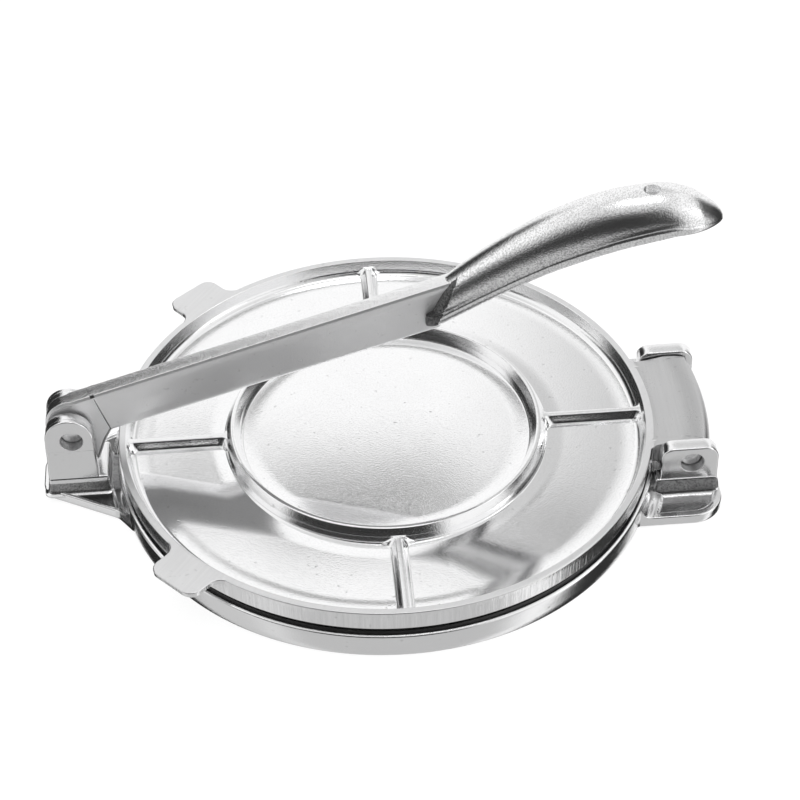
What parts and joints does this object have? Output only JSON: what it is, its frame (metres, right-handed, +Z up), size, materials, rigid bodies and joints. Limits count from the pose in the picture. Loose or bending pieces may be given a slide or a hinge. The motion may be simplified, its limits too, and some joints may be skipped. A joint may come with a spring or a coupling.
{
  "type": "tortilla press",
  "caption": "Hinged round cast press: ribbed top plate on a round bed, with a pressing lever and domed handle pivoted opposite the hinge.",
  "frame": {"origin": "on the surface that the press stands on, under the centre of the round plates", "axes": "+X from the lever's pivot to the plate hinge, +Z up, +Y to the rear as the handle points right"},
  "size_m": [0.2516, 0.202, 0.1202],
  "materials": {
    "cast_aluminium": "satin, polished on the floors and rims",
    "pin_steel": "satin"
  },
  "bodies": {
    "base": {"base_plate": "cast_aluminium", "hinge_pin": "pin_steel", "lever_pin": "pin_steel"},
    "upper_plate": {"top_plate": "cast_aluminium"},
    "lever": {"lever": "cast_aluminium"}
  },
  "joints": [
    {"name": "lever_pivot", "type": "hinge", "parent": "base", "child": "lever", "pos_m": [-0.1164, 0, 0.0283], "axis": [0, -1, 0], "range_deg": [0, 160]},
    {"name": "plate_hinge", "type": "hinge", "parent": "base", "child": "upper_plate", "pos_m": [0.1113, 0, 0.0166], "axis": [0, 1, 0], "range_deg": [0, 25]}
  ],
  "couplings": [
    {"joint": "plate_hinge", "follows": "lever_pivot", "ratio": 0.155}
  ]
}
